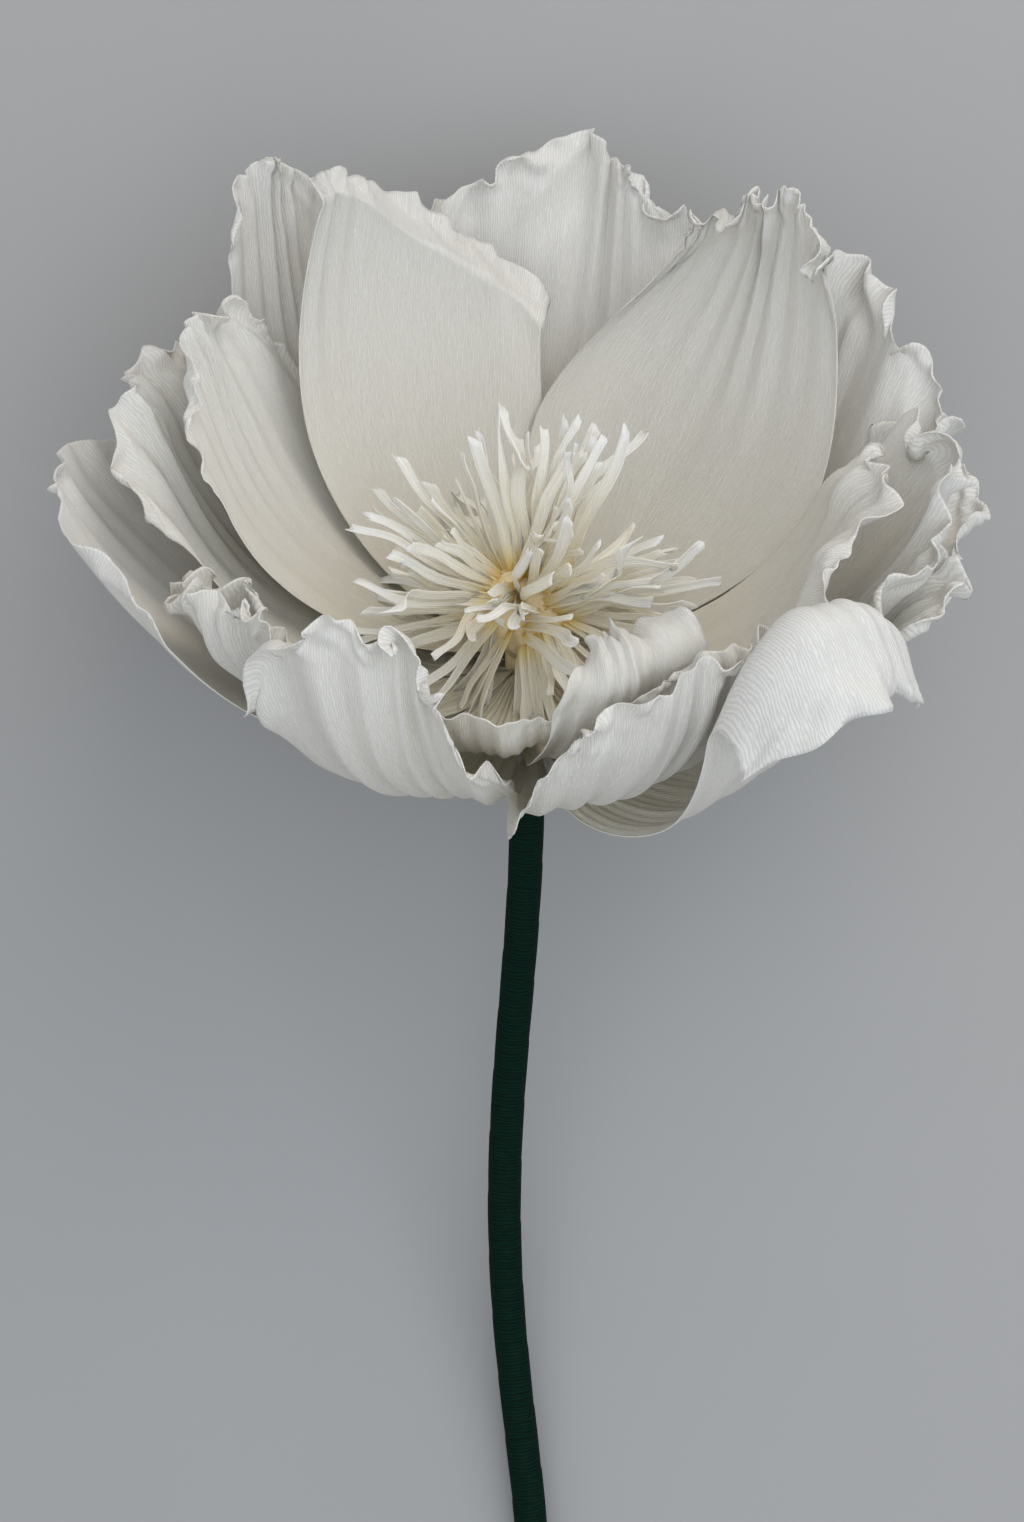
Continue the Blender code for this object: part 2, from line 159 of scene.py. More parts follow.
PETALS = (
    Petal("inner_petal_1", 116, 0.12, 0.166, 29, 0.08, 0.14, 22, -80,
          0.018, 0.0010, 1, 0.10, 0.15, -5, 0.45, 1, 0.90, 0.35),
    Petal("inner_petal_2", 56, 0.12, 0.178, 36, 0.10, -0.05, 12, 10,
          0.024, 0.0018, 1, 0.60, 0.60, -12, 0.85, 3, -0.10, 0.55),
    Petal("inner_petal_3", -14, 0.10, 0.132, 24, 0.10, 0.00, 15, -40,
          0.020, 0.0030, 2, 0.20, 0.00, 0, 0.7, 2, 0.30, 0.30),
    Petal("inner_petal_4", -70, 0.16, 0.124, 20, 0.15, 0.05, 8, 110,
          0.034, 0.0020, 2, 0.40, 0.25, 0, 0.4, 1, 0.00, 0.20),
    Petal("inner_petal_5", -108, 0.20, 0.090, 26, 0.12, 0.00, 8, 10,
          0.024, 0.0020, 2, 0.80, 0.00, 0, 0.3, 4, 0.00, 0.00),
    Petal("inner_petal_6", 154, 0.06, 0.150, 26, 0.25, 0.00, 8, -10,
          0.024, 0.0014, 2, 0.00, 0.10, 0, 0.7, 1, 0.10, 0.40),
    Petal("middle_petal_1", 82, 0.46, 0.186, 28, 0.20, 0.00, 0, 0,
          0.024, 0.0022, 3, 0.30, 0.15, 0, 1.0, 3, -0.20, 0.60),
    Petal("middle_petal_2", 128, 0.42, 0.190, 22, 0.15, 0.05, 3, 0,
          0.024, 0.0020, 2, 0.70, 0.35, -3, 0.9, 2, 0.20, 0.55),
    Petal("middle_petal_3", 158, 0.45, 0.156, 28, 0.20, 0.00, 4, -20,
          0.024, 0.0020, 3, 0.15, 0.10, -2, 0.8, 1, 0.30, 0.45),
    Petal("middle_petal_4", 38, 0.45, 0.172, 29, 0.15, 0.00, 2, -5,
          0.024, 0.0035, 3, 0.55, 0.15, 0, 1.25, 3, 0.10, 0.50),
    Petal("middle_petal_5", -4, 0.45, 0.152, 27, 0.20, 0.05, 2, -10,
          0.024, 0.0035, 3, 0.90, 0.00, 0, 1.3, 3, -0.20, 0.45),
    Petal("middle_petal_6", -54, 0.44, 0.120, 23, 0.25, 0.00, 10, 0,
          0.024, 0.0020, 2, 0.25, 0.00, 0, 0.7, 3, 0.10, 0.30),
    Petal("middle_petal_7", -154, 0.32, 0.118, 22, 0.22, 0.00, 9, 10,
          0.024, 0.0020, 3, 0.45, 0.00, 0, 1.1, 2, 0.00, 0.35),
    Petal("outer_petal_1", 97, 0.70, 0.178, 26, 0.15, 0.00, 0, -10,
          0.024, 0.0026, 3, 0.35, 0.00, 0, 1.1, 3, 0.40, 0.45),
    Petal("outer_petal_2", 52, 1.06, 0.168, 26, 0.12, 0.00, -18, -5,
          0.024, 0.0030, 3, 0.75, 0.00, 0, 1.0, 4, 0.00, 0.30),
    Petal("outer_petal_3", 23, 0.82, 0.156, 28, 0.18, 0.00, 2, -20,
          0.024, 0.0030, 3, 0.05, 0.00, 0, 1.25, 3, -0.20, 0.40),
    Petal("outer_petal_4", -14, 0.80, 0.144, 17, 0.20, 0.00, 7, -25,
          0.024, 0.0020, 2, 0.50, 0.00, 0, 1.2, 2, 0.20, 0.45),
    Petal("outer_petal_5", -47, 1.30, 0.206, 15, 0.14, 0.00, 19, -165,
          0.046, 0.0010, 1, 0.85, 0.00, 0, 0.55, 1, 0.30, 0.15),
    Petal("outer_petal_6", -68, 0.86, 0.132, 29, 0.34, 0.15, 12, 5,
          0.024, 0.0020, 2, 0.20, 0.00, 2, 0.8, 7, 0.10, 0.35),
    Petal("outer_petal_7", -112, 0.92, 0.144, 22, 0.30, -0.17, 18, 0,
          0.024, 0.0030, 2, 0.60, 0.00, -3, 0.95, 6, 0.25, 0.30),
    Petal("outer_petal_8", -149, 0.56, 0.130, 26, 0.25, 0.00, 11, 0,
          0.024, 0.0020, 3, 0.30, 0.00, 0, 1.25, 2, -0.10, 0.50),
    Petal("outer_petal_9", 178, 0.84, 0.164, 31, 0.14, 0.00, 0, 0,
          0.024, 0.0009, 2, 0.40, 0.05, 0, 0.5, 0, -0.30, 0.20),
    Petal("outer_petal_10", 131, 1.10, 0.164, 25, 0.12, 0.00, -14, -5,
          0.024, 0.0030, 3, 0.95, 0.00, 0, 1.0, 4, 0.10, 0.30),
)

# Stem's mesh: steps along its bent part and its straight end, sides, and how many rings of
# the outside go to one of the bore
LINE_STEPS = 200
END_STEPS = 8
SIDES = 56
BORE_EVERY = 8

# Covered ball: its shrinkage, and the folds that its cover is gathered in
BALL_FILL = 0.965               # share of the solid's radius, so that the folds stay inside
BALL_FOLDS = 14
BALL_FOLD_DEPTH = 0.03          # share of the radius

# Stamens: rows and columns of faces on a strip, and how they sit on the ball
STRIP_ROWS = 18
STRIP_COLUMNS = 3
STRIP_STEP = 0.0004             # from one strip of a tuft to the next, clear of its paper
SEAT_DEPTH = 0.86               # share of the ball's radius at which the tufts start
LOWEST_TUFT = -10               # degrees above the ball's waist
TUFT_RISE = 88                  # degrees from the lowest tuft to the top one
TUFT_LEAN = 0.40                # how far a tuft leans from straight out
TUFT_TURN = 0.9                 # radians by which a tuft may turn on itself

# Lamps: name, place from the head, side of its square, watts, colour
LAMPS = (
    ("window", (0.62, 0.16, 1.15), 1.5, 8.4, "F1F8FF"),
    ("room", (0.40, 1.00, 0.70), 1.0, 4.4, "FFECD4"),
    ("bounce", (-0.40, -0.42, 1.30), 1.6, 5.8, "F8FCFF"),
)
FLOOR_SIZE = 6

SEEDS = {"petals": 100, "tufts": 500, "seats": 7, "turns": 3}


# Small tools

def linear(code):
    """Linear colour of an sRGB hex code."""
    values = []
    for start in (0, 2, 4):
        value = int(code[start:start + 2], 16) / 255
        values.append(value / 12.92 if value <= 0.04045 else ((value + 0.055) / 1.055) ** 2.4)
    return (*values, 1.0)


def node(tree, kind, links=(), inputs=None, stops=(), **settings):
    """Add a node with its settings, links and input values, and a colour ramp's stops.

    Sockets go by name or number; a stop is a place and a colour.
    """
    made = tree.nodes.new(kind)
    for name, value in settings.items():
        setattr(made, name, value)
    for socket, value in (inputs or {}).items():
        made.inputs[socket].default_value = value
    for _ in stops[2:]:
        made.color_ramp.elements.new(0.5)
    for number, (place, color) in enumerate(stops):
        made.color_ramp.elements[number].position = place
        made.color_ramp.elements[number].color = (*color[:3], 1.0)
    for socket, source in links:
        tree.links.new(source, made.inputs[socket])
    return made


def smooth(value):
    """Ease from 0 to 1."""
    value = np.clip(value, 0, 1)
    return value * value * (3 - 2 * value)


def sharp_folds(phase):
    """Wave with straight flanks and sharp creases, between -1 and 1."""
    return np.arcsin(np.sin(phase) * 0.97) * 2 / math.pi


def wave_sum(random, place, lengths, count):
    """Sum of sine waves of mixed lengths, mostly between -1 and 1."""
    total = 0
    for _ in range(count):
        cycle = place / random.uniform(*lengths) + random.random()
        total = total + np.sin(math.tau * cycle)
    return total / math.sqrt(count)


def head_turn():
    """Rotation from the flower's own axes to the frame's."""
    return Matrix.Rotation(HEAD_ROLL, 3, "Y") @ Matrix.Rotation(HEAD_RISE - math.pi / 2, 3, "X")


def head_place():
    """Where the flower's own origin lies: the top of the receptacle's axis."""
    turn = np.array(head_turn())
    mesh = frame["nodes"]["receptacle"].data
    places = np.empty(len(mesh.vertices) * 3)
    mesh.vertices.foreach_get("co", places)
    own = places.reshape(-1, 3) @ turn
    low, high = own.min(axis=0), own.max(axis=0)
    return Vector(turn @ np.array(((low[0] + high[0]) / 2, (low[1] + high[1]) / 2, high[2])))


def head_matrix():
    """Turn and place of the flower's own axes in one matrix."""
    matrix = head_turn().to_4x4()
    matrix.translation = head_place()
    return matrix


def add_piece(name, mesh, material, replaced):
    """Link a finished mesh as a piece that rides on the flower."""
    piece = bpy.data.objects.new(name, mesh)
    bpy.context.scene.collection.objects.link(piece)
    mesh.materials.clear()
    mesh.materials.append(material)
    mesh.shade_smooth()
    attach(piece, BODY)
    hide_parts(*replaced)


def dress(name, material):
    """Give a carried-over solid its material."""
    mesh = frame["nodes"][name].data
    mesh.materials.clear()
    mesh.materials.append(material)


# Materials

WAVE_PERIOD = math.tau / 20     # from one band of the wave texture to the next, at scale 1


def new_material(name, constants):
    """A material with these values on its shader's sockets: itself, its tree and the shader."""
    material = bpy.data.materials.new(name)
    material.use_nodes = True
    shader = material.node_tree.nodes["Principled BSDF"]
    for socket, value in constants.items():
        shader.inputs[socket].default_value = value
    return material, material.node_tree, shader


def crepe_grain(tree, settings):
    """Crepe paper's grain: short uneven ridges that run along the strip or petal.

    The UV map is in metres, across the grain and along it. The wave's distortion runs
    ridges together, as in real crepe, so its own pitch is finer than the one that shows.
    """
    place = node(tree, "ShaderNodeTexCoord")
    pitches = (WAVE_PERIOD / settings.grain_pitch, WAVE_PERIOD / settings.grain_length, 1)
    stretch = node(tree, "ShaderNodeMapping", ((0, place.outputs["UV"]),), inputs={"Scale": pitches})
    ridges = node(
        tree, "ShaderNodeTexWave", ((0, stretch.outputs[0]),), bands_direction="X",
        inputs={"Scale": 1.0, "Distortion": 7.0, "Detail": 3.0, "Detail Scale": 1.6,
                "Detail Roughness": 0.6},
    )
    bump = node(
        tree, "ShaderNodeBump", (("Height", ridges.outputs[0]),),
        inputs={"Strength": 1.0, "Distance": settings.grain_depth},
    )
    return place, ridges.outputs["Fac"], bump


def tinted_crepe(tree, shader, settings, reach, tints, contrast):
    """Crepe that changes its tint along its length, with painted shade that darkens it between the
    ridges.
    """
    place, ridges, bump = crepe_grain(tree, settings)
    split = node(tree, "ShaderNodeSeparateXYZ", ((0, place.outputs["UV"]),))
    share = node(
        tree, "ShaderNodeMapRange", ((0, split.outputs["Y"]),),
        inputs={"From Min": 0.0, "From Max": reach},
    )
    tint = node(tree, "ShaderNodeValToRGB", ((0, share.outputs[0]),), stops=tints)
    # Painted shade: the colour is multiplied darker where the grain's ridges dip, from the same texture
    # that drives the bump
    shade = node(
        tree, "ShaderNodeValToRGB", ((0, ridges),),
        stops=((0.1, settings.hollow_shade_color), (0.7, linear("FFFFFF"))),
    )
    color = node(
        tree, "ShaderNodeMixRGB", ((1, tint.outputs[0]), (2, shade.outputs[0])),
        blend_type="MULTIPLY", inputs={0: contrast},
    )
    tree.links.new(color.outputs[0], shader.inputs["Base Color"])
    tree.links.new(bump.outputs[0], shader.inputs["Normal"])


def white_crepe_material(settings):
    """White florist crepe, extruded paper pressed into a grain and stretched by hand.

    Matt and soft, with fine ridges from foot to rim, and thin enough to glow a little when lit from
    behind. Its tint is painted warm shade: cream and a little darker towards the foot, deep in the cup.
    """
    material, tree, shader = new_material("White florist crepe", {
        "Roughness": 0.82,
        "Specular IOR Level": 0.25,
        "Subsurface Weight": 0.35,
        "Subsurface Radius": (1.0, 0.9, 0.75),
        "Subsurface Scale": 2.0 * MM,
    })
    # Painted warm shade: cream at the foot, deep in the cup, paling towards the rim
    tinted_crepe(tree, shader, settings, RIM_REACH, (
        (0.0, settings.foot_shade_color),
        (0.28, settings.wall_color),
        (0.5, settings.inside_color),
        (1.0, settings.rim_color),
    ), 0.55)
    return material


def cream_crepe_material(settings):
    """Thin cream crepe, cut in strips and rolled between the fingers.

    Pale at the tips and egg yellow at the root, where it is tinted.
    """
    material, tree, shader = new_material("Cream crepe strips", {
        "Roughness": 0.75,
        "Specular IOR Level": 0.3,
        "Subsurface Weight": 0.6,
        "Subsurface Radius": (1.0, 0.85, 0.6),
        "Subsurface Scale": 1.5 * MM,
    })
    tinted_crepe(tree, shader, settings, settings.length, (
        (0.0, settings.root_color),
        (0.10, settings.low_color),
        (0.22, settings.middle_color),
        (1.0, settings.tip_color),
    ), 0.40)
    return material


def cover_crepe_material(settings):
    """Pale egg-yellow crepe, pulled over the ball and glued down round the collar.

    Matt, with the grain crushed flat by the glue into patches of a millimetre or two; painted shade makes
    the sunken places of those patches darker.
    """
    material, tree, shader = new_material(
        "Cream crepe cover", {"Roughness": 0.8, "Specular IOR Level": 0.25}
    )
    place = node(tree, "ShaderNodeTexCoord")
    crush = node(
        tree, "ShaderNodeTexNoise", ((0, place.outputs["Object"]),),
        inputs={"Scale": 0.7 / MM, "Detail": 3.0},
    )
    # Painted shade: the same noise that lowers the bump picks the darker colour
    tint = node(
        tree, "ShaderNodeValToRGB", ((0, crush.outputs[0]),),
        stops=((0.35, settings.hollow_shade_color), (0.65, settings.cover_color)),
    )
    bump = node(
        tree, "ShaderNodeBump", (("Height", crush.outputs[0]),),
        inputs={"Strength": 1.0, "Distance": 0.2 * MM},
    )
    tree.links.new(tint.outputs[0], shader.inputs["Base Color"])
    tree.links.new(bump.outputs[0], shader.inputs["Normal"])
    return material


def green_crepe_material(settings):
    """Very dark green crepe tape, wound tightly round the stem and rubbed smooth.

    Nearly matt; the ridges run round the stem.
    """
    material, tree, shader = new_material(
        "Dark green stem crepe", {"Roughness": 0.72, "Specular IOR Level": 0.08}
    )
    _, ridges, bump = crepe_grain(tree, settings)
    tint = node(
        tree, "ShaderNodeValToRGB", ((0, ridges),),
        stops=((0.25, settings.shade_color), (0.70, settings.wrap_color)),
    )
    tree.links.new(tint.outputs[0], shader.inputs["Base Color"])
    tree.links.new(bump.outputs[0], shader.inputs["Normal"])
    return material


def steel_wire_material(settings):
    """Drawn steel wire: grey metal, blotched where its dull skin has worn."""
    material, tree, shader = new_material("Drawn steel wire", {
        "Base Color": (*settings.wire_color, 1.0),
        "Metallic": 1.0,
    })
    place = node(tree, "ShaderNodeTexCoord")
    skin = node(
        tree, "ShaderNodeTexNoise", ((0, place.outputs["Object"]),),
        inputs={"Scale": 0.9 / MM, "Detail": 2.0},
    )
    rough = node(
        tree, "ShaderNodeMapRange", ((0, skin.outputs[0]),),
        inputs={"To Min": 0.30, "To Max": 0.50},
    )
    tree.links.new(rough.outputs[0], shader.inputs["Roughness"])
    return material


def floor_material(settings):
    """Matt painted board, evenly grey, with faint patches about 0.3 m across."""
    material, tree, shader = new_material(
        "Matt painted board", {"Roughness": 0.95, "Specular IOR Level": 0.1}
    )
    place = node(tree, "ShaderNodeTexCoord")
    patches = node(
        tree, "ShaderNodeTexNoise", ((0, place.outputs["Object"]),),
        inputs={"Scale": 3.0, "Detail": 4.0},
    )
    color = Vector(settings.floor_color)
    tint = node(
        tree, "ShaderNodeValToRGB", ((0, patches.outputs[0]),),
        stops=((0.3, color * 0.96), (0.7, color * 1.02)),
    )
    tree.links.new(tint.outputs[0], shader.inputs["Base Color"])
    return material


# Sheets of paper

def surface_normals(points):
    """Unit normals of a grid of points."""
    normal = np.cross(np.gradient(points, axis=1), np.gradient(points, axis=0))
    return normal / np.linalg.norm(normal, axis=-1, keepdims=True)


def sheet_solid(points, normals, places, thickness):
    """Corners, faces and UV places of a closed sheet: both faces of the paper and its cut edge."""
    rows, columns = points.shape[0], points.shape[1]
    count = rows * columns
    upper = (points + normals * thickness / 2).reshape(-1, 3)
    lower = (points - normals * thickness / 2).reshape(-1, 3)
    index = np.arange(count).reshape(rows, columns)
    quads = np.stack(
        (index[:-1, :-1], index[:-1, 1:], index[1:, 1:], index[1:, :-1]), axis=-1
    ).reshape(-1, 4)
    edge = np.concatenate((index[0, :-1], index[:-1, -1], index[-1, :0:-1], index[:0:-1, 0]))
    after = np.roll(edge, -1)
    sides = np.stack((after, edge, edge + count, after + count), axis=-1)
    faces = np.concatenate((quads, quads[:, ::-1] + count, sides))
    flat = places.reshape(-1, 2)
    return np.concatenate((upper, lower)), faces, np.concatenate((flat, flat))


def sheet_mesh(name, sheets):
    """One mesh from one or more closed sheets, with UVs in metres."""
    corners, faces, places = [], [], []
    first = 0
    for sheet in sheets:
        corners.append(sheet[0])
        faces.append(sheet[1] + first)
        places.append(sheet[2])
        first += len(sheet[0])
    faces = np.concatenate(faces)
    mesh = bpy.data.meshes.new(name)
    mesh.from_pydata(np.concatenate(corners).tolist(), [], faces.tolist())
    layer = mesh.uv_layers.new(name="UVMap")
    layer.data.foreach_set("uv", np.concatenate(places)[faces.reshape(-1)].reshape(-1))
    return mesh


# Petals: along runs from 0 at the foot to 1 at the rim, across from -1 to 1

def follow_arc(radius, height, slope, turn, run):
    """Go on along a circular arc that turns by `turn` radians a metre for `run` metres."""
    turn = np.where(np.abs(turn) < STRAIGHT, STRAIGHT, turn)
    end = slope + turn * run
    radius = radius + (np.sin(end) - np.sin(slope)) / turn
    height = height + (np.cos(slope) - np.cos(end)) / turn
    return radius, height, end


def bowl_slopes(layer, azimuth):
    """Slopes in radians of the nested bowls at a layer and an azimuth."""
    back = np.clip(np.sin(azimuth), 0, 1) ** 2
    front = np.clip(-np.sin(azimuth), 0, 1) ** 2
    side = 1 - back - front
    slopes = []
    for station in range(3):
        blend = 0
        for share, place in ((back, "back"), (side, "side"), (front, "front")):
            inner, outer = BOWL[place][0][station], BOWL[place][1][station]
            blend = blend + share * (inner + (outer - inner) * layer)
        slopes.append(np.radians(blend))
    return slopes


def curl_share(petal):
    """Share of the flap in which it turns: little where the paper is creased, not rolled."""
    return CREASED.get(petal.name, CURL_SHARE)


def flap_width(petal, across):
    """Run of the turned flap; where it's creased, the crest sags in the middle."""
    if petal.name not in CREASED:
        return petal.flap + 0 * across
    left = smooth((across + 0.1) / 0.8)
    right = smooth((-across - 0.4) / 0.6)
    return petal.flap * (1.1 - 0.6 * left - 0.4 * right)


def pinch_pull(petal, across):
    """How strongly the rim is gathered, column by column."""
    return petal.gather * np.exp(-((across - petal.pinch) / PINCH_WIDTH) ** 2)


def row_shares(petal, rows):
    """Shares of the length at which the rows lie, closer together where the rim turns."""
    share = np.linspace(0, 1, ROW_SAMPLES)
    start = 1 - petal.flap / petal.length
    end = start + petal.flap * curl_share(petal) / petal.length
    turning = (share > start - CURL_MARGINS[0]) & (share < end + CURL_MARGINS[1])
    sharpness = abs(petal.curl) / 180 * CURL_SHARE / curl_share(petal)
    crowd = 1 + CURL_CROWD * sharpness * turning
    crowd = crowd + RIM_CROWD * (share > 1 - RIM_CROWD_RUN / petal.length)
    total = np.cumsum(crowd)
    total = (total - total[0]) / (total[-1] - total[0])
    return np.interp(np.linspace(0, 1, rows + 1), total, share)


def sheet_reach(petal, settings, random, along, across, span):
    """Length of each column of the sheet, and each point's run from the foot."""
    rim = petal.length * (1 - petal.shoulder * np.abs(across) ** 2.5 + petal.slant * across)
    fine = wave_sum(random, span, (0.006, 0.02), 4)
    coarse = wave_sum(random, span, (0.025, 0.05), 3)
    ragged = settings.ragged * petal.crumple * (fine + 1.6 * coarse)
    corner = CORNER_TRIM * abs(min(petal.curl + 90, 0)) / 90 * np.abs(across) ** 3
    return rim, along * rim + (ragged - corner) * along ** 6


def sheet_spread(petal, along, across):
    """Azimuth and layer of each point, and how strongly it is drawn to the pinch."""
    nip = pinch_pull(petal, across) * smooth((along - 0.3) / 0.7) ** 1.5
    drawn = across + nip * (petal.pinch - across)
    spread = FOOT_HALF_ANGLE + (math.radians(petal.half_width) - FOOT_HALF_ANGLE) * smooth(2 * along)
    spread = spread * (1 - petal.taper * smooth(2 * along - 1))
    azimuth = np.radians(petal.azimuth + petal.sway * along ** 2) + spread * drawn
    return azimuth, petal.layer - SPIRAL * across + 0 * along, nip


def rim_folds(petal, settings, random, across, span):
    """Degrees by which the rim is folded over, column by column, less where it's pinched.

    It folds inwards, and outwards on the outermost petals in front.
    """
    calm = smooth(1 - 1.6 * pinch_pull(petal, across))
    patches = smooth(0.1 + 1.3 * wave_sum(random, span, (0.025, 0.06), 3)) * calm
    outermost = petal.layer > 0.8 and math.sin(math.radians(petal.azimuth)) < -0.3
    return (-1 if outermost else 1) * petal.crumple * settings.rim_fold * patches


def bent_sheet(petal, settings, random, across, span, rim, reach, azimuth, layer):
    """Points of the smooth sheet: a chain of arcs from the foot to the folded rim."""
    foot, wall, top = bowl_slopes(layer, azimuth)
    lean = math.radians(petal.lean) / RIM_REACH
    foot_turn = (wall - foot) / WALL_REACH + lean
    wall_turn = (top - wall) / (RIM_REACH - WALL_REACH) + lean
    curl_run = petal.flap * curl_share(petal)
    curl_turn = wall_turn + math.radians(petal.curl) / curl_run
    curl_start = np.maximum(rim - flap_width(petal, across), WALL_REACH)
    curl_end = curl_start + curl_run
    fold_run = settings.fold_width * (0.7 + 0.3 * wave_sum(random, span, (0.02, 0.05), 2))
    fold_start = np.maximum(rim - np.maximum(fold_run, FOLD_LEAST), curl_end)
    fold_end = fold_start + settings.fold_arc
    fold_turn = lean + np.radians(rim_folds(petal, settings, random, across, span)) / settings.fold_arc

    radius = RECEPTACLE_RADIUS + SEAT_GAP + 0 * layer
    height = -SEAT_GAP - FOOT_STACK * layer
    slope = foot
    for turn, run in (
        (foot_turn, np.minimum(reach, WALL_REACH)),
        (wall_turn, np.clip(reach, WALL_REACH, curl_start) - WALL_REACH),
        (curl_turn, np.clip(reach, curl_start, curl_end) - curl_start),
        (lean, np.clip(reach, curl_end, fold_start) - curl_end),
        (fold_turn, np.clip(reach, fold_start, fold_end) - fold_start),
        (lean, np.maximum(reach - fold_end, 0)),
    ):
        radius, height, slope = follow_arc(radius, height, slope, turn, run)
    return np.stack((radius * np.cos(azimuth), radius * np.sin(azimuth), height), axis=-1)


def rim_ruffles(petal, settings, random, span, from_rim):
    """Hand-stretched rim: uneven waves that grow and get finer towards the edge."""
    total = 0
    for lengths, band, share in RIM_WAVES:
        wave = 0
        for _ in range(3):
            drift = random.uniform(-1.2, 1.2)
            cycle = (span + drift * from_rim) / random.uniform(*lengths) + random.random()
            wave = wave + sharp_folds(math.tau * cycle) / math.sqrt(3)
        patches = 1.15 * smooth(0.5 + 0.8 * wave_sum(random, span, (0.03, 0.08), 2))
        near = smooth(1 - from_rim / (settings.rim_band * band)) ** 1.5
        total = total + share * wave * patches * near
    return petal.crumple * settings.rim_ruffle * total


def long_creases(petal, settings, random, along, across):
    """Creases from the foot to the rim, left by gathering the paper."""
    total = 0
    for _ in range(petal.creases):
        start = random.uniform(-0.85, 0.85)
        drift = random.uniform(-0.25, 0.25)
        width = random.uniform(0.05, 0.14)
        depth = random.choice((-1, 1)) * random.uniform(0.4, 1.0)
        distance = np.sqrt((across - start - drift * along) ** 2 + 0.0004)
        total = total + depth * np.exp(-distance / width) * smooth(3 * along) * smooth(3 * (1.1 - along))
    if petal.creases >= SHARP_FROM:
        ridges = sharp_folds(math.tau * petal.creases / 2 * (across + 0.12 * np.sin(3 * across)))
        total = total + DEEP_CREASES * ridges * smooth(4 * along) * smooth(6 * (1.02 - along))
    return settings.crease_depth * total


def foot_gathers(petal, settings, random, along, across):
    """Fine pleats where the foot is gathered and tied; on one small petal they reach the rim."""
    run, strength = (1.8, 2.0) if petal.name == PLEATED else (0.5, 1.0)
    fade = smooth(along * 12) * smooth(1 - along / run)
    drift = 0.8 * np.sin(math.tau * (0.9 * across + random.random()))
    pleats = sharp_folds(math.tau * FOOT_PLEATS * across + drift)
    return settings.gather_depth * strength * fade * pleats


def hand_work(petal, settings, random, along, across, span, from_rim, nip):
    """How far each point stands off the smooth sheet."""
    wave = math.tau * (petal.waves * across / 2 + petal.phase)
    folds = math.tau * (across - petal.pinch) * PINCH_FOLDS
    return (
        petal.ruffle * along ** 2 * (np.sin(wave) + 0.6 * along ** 4 * np.sin(2.3 * wave + 1))
        + PLEAT_DEPTH * np.sin(math.pi * along) * np.cos(math.pi * PLEATS * across)
        + rim_ruffles(petal, settings, random, span, from_rim)
        + long_creases(petal, settings, random, along, across)
        + foot_gathers(petal, settings, random, along, across)
        + settings.pinch_depth * nip * sharp_folds(folds + 1.5 * np.sin(3 * across))
    )


def petal_surface(petal, settings, number):
    """Points, unit normals and UV places of a petal's sheet, on the flower's own axes."""
    random = np.random.default_rng(SEEDS["petals"] + number)
    along = row_shares(petal, settings.rows)[:, None]
    across = np.linspace(-1, 1, settings.columns + 1)[None, :]
    span = across * math.radians(petal.half_width) * RIM_RADIUS

    rim, reach = sheet_reach(petal, settings, random, along, across, span)
    azimuth, layer, nip = sheet_spread(petal, along, across)
    points = bent_sheet(petal, settings, random, across, span, rim, reach, azimuth, layer)
    from_rim = (1 - along) * rim
    shift = hand_work(petal, settings, random, along, across, span, from_rim, nip)
    points = points + surface_normals(points) * shift[..., None]

    # Each petal shows its own stretch of the grain, half a metre on from the last one's
    half = math.radians(petal.half_width) * (RECEPTACLE_RADIUS + 0.75 * WALL_REACH)
    places = np.stack((half * across + 0 * along + 0.5 * number, reach + 0 * across), axis=-1)
    return points, surface_normals(points), places


# Stem

def stem_line():
    """Points along the middle of the wrapped stem, from the head to the cut end."""
    down = Vector((0, -math.cos(HEAD_RISE), -math.sin(HEAD_RISE)))
    head = head_place()
    low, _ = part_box("stem_wrap")
    start = head + down * (RECEPTACLE_LENGTH + SEAT_GAP)
    cut = Vector((head.x + STEM_END_SIDE, low[1], STEM_RADIUS))
    end = cut + Vector((0, TAIL_STRAIGHT, 0))
    neck = start + down * NECK_RUN + Vector((NECK_BOW, 0, 0))
    tail = end + Vector((0, TAIL_RUN, 0))
    points = []
    for index in range(LINE_STEPS + 1):
        share = index / LINE_STEPS
        rest = 1 - share
        point = rest**3 * start + 3 * rest**2 * share * neck + 3 * rest * share**2 * tail + share**3 * end
        point.x -= TAIL_BOW * math.sin(math.pi * share ** 1.2) ** 2
        points.append(point)
    for index in range(1, END_STEPS + 1):
        points.append(end.lerp(cut, index / END_STEPS))
    return points


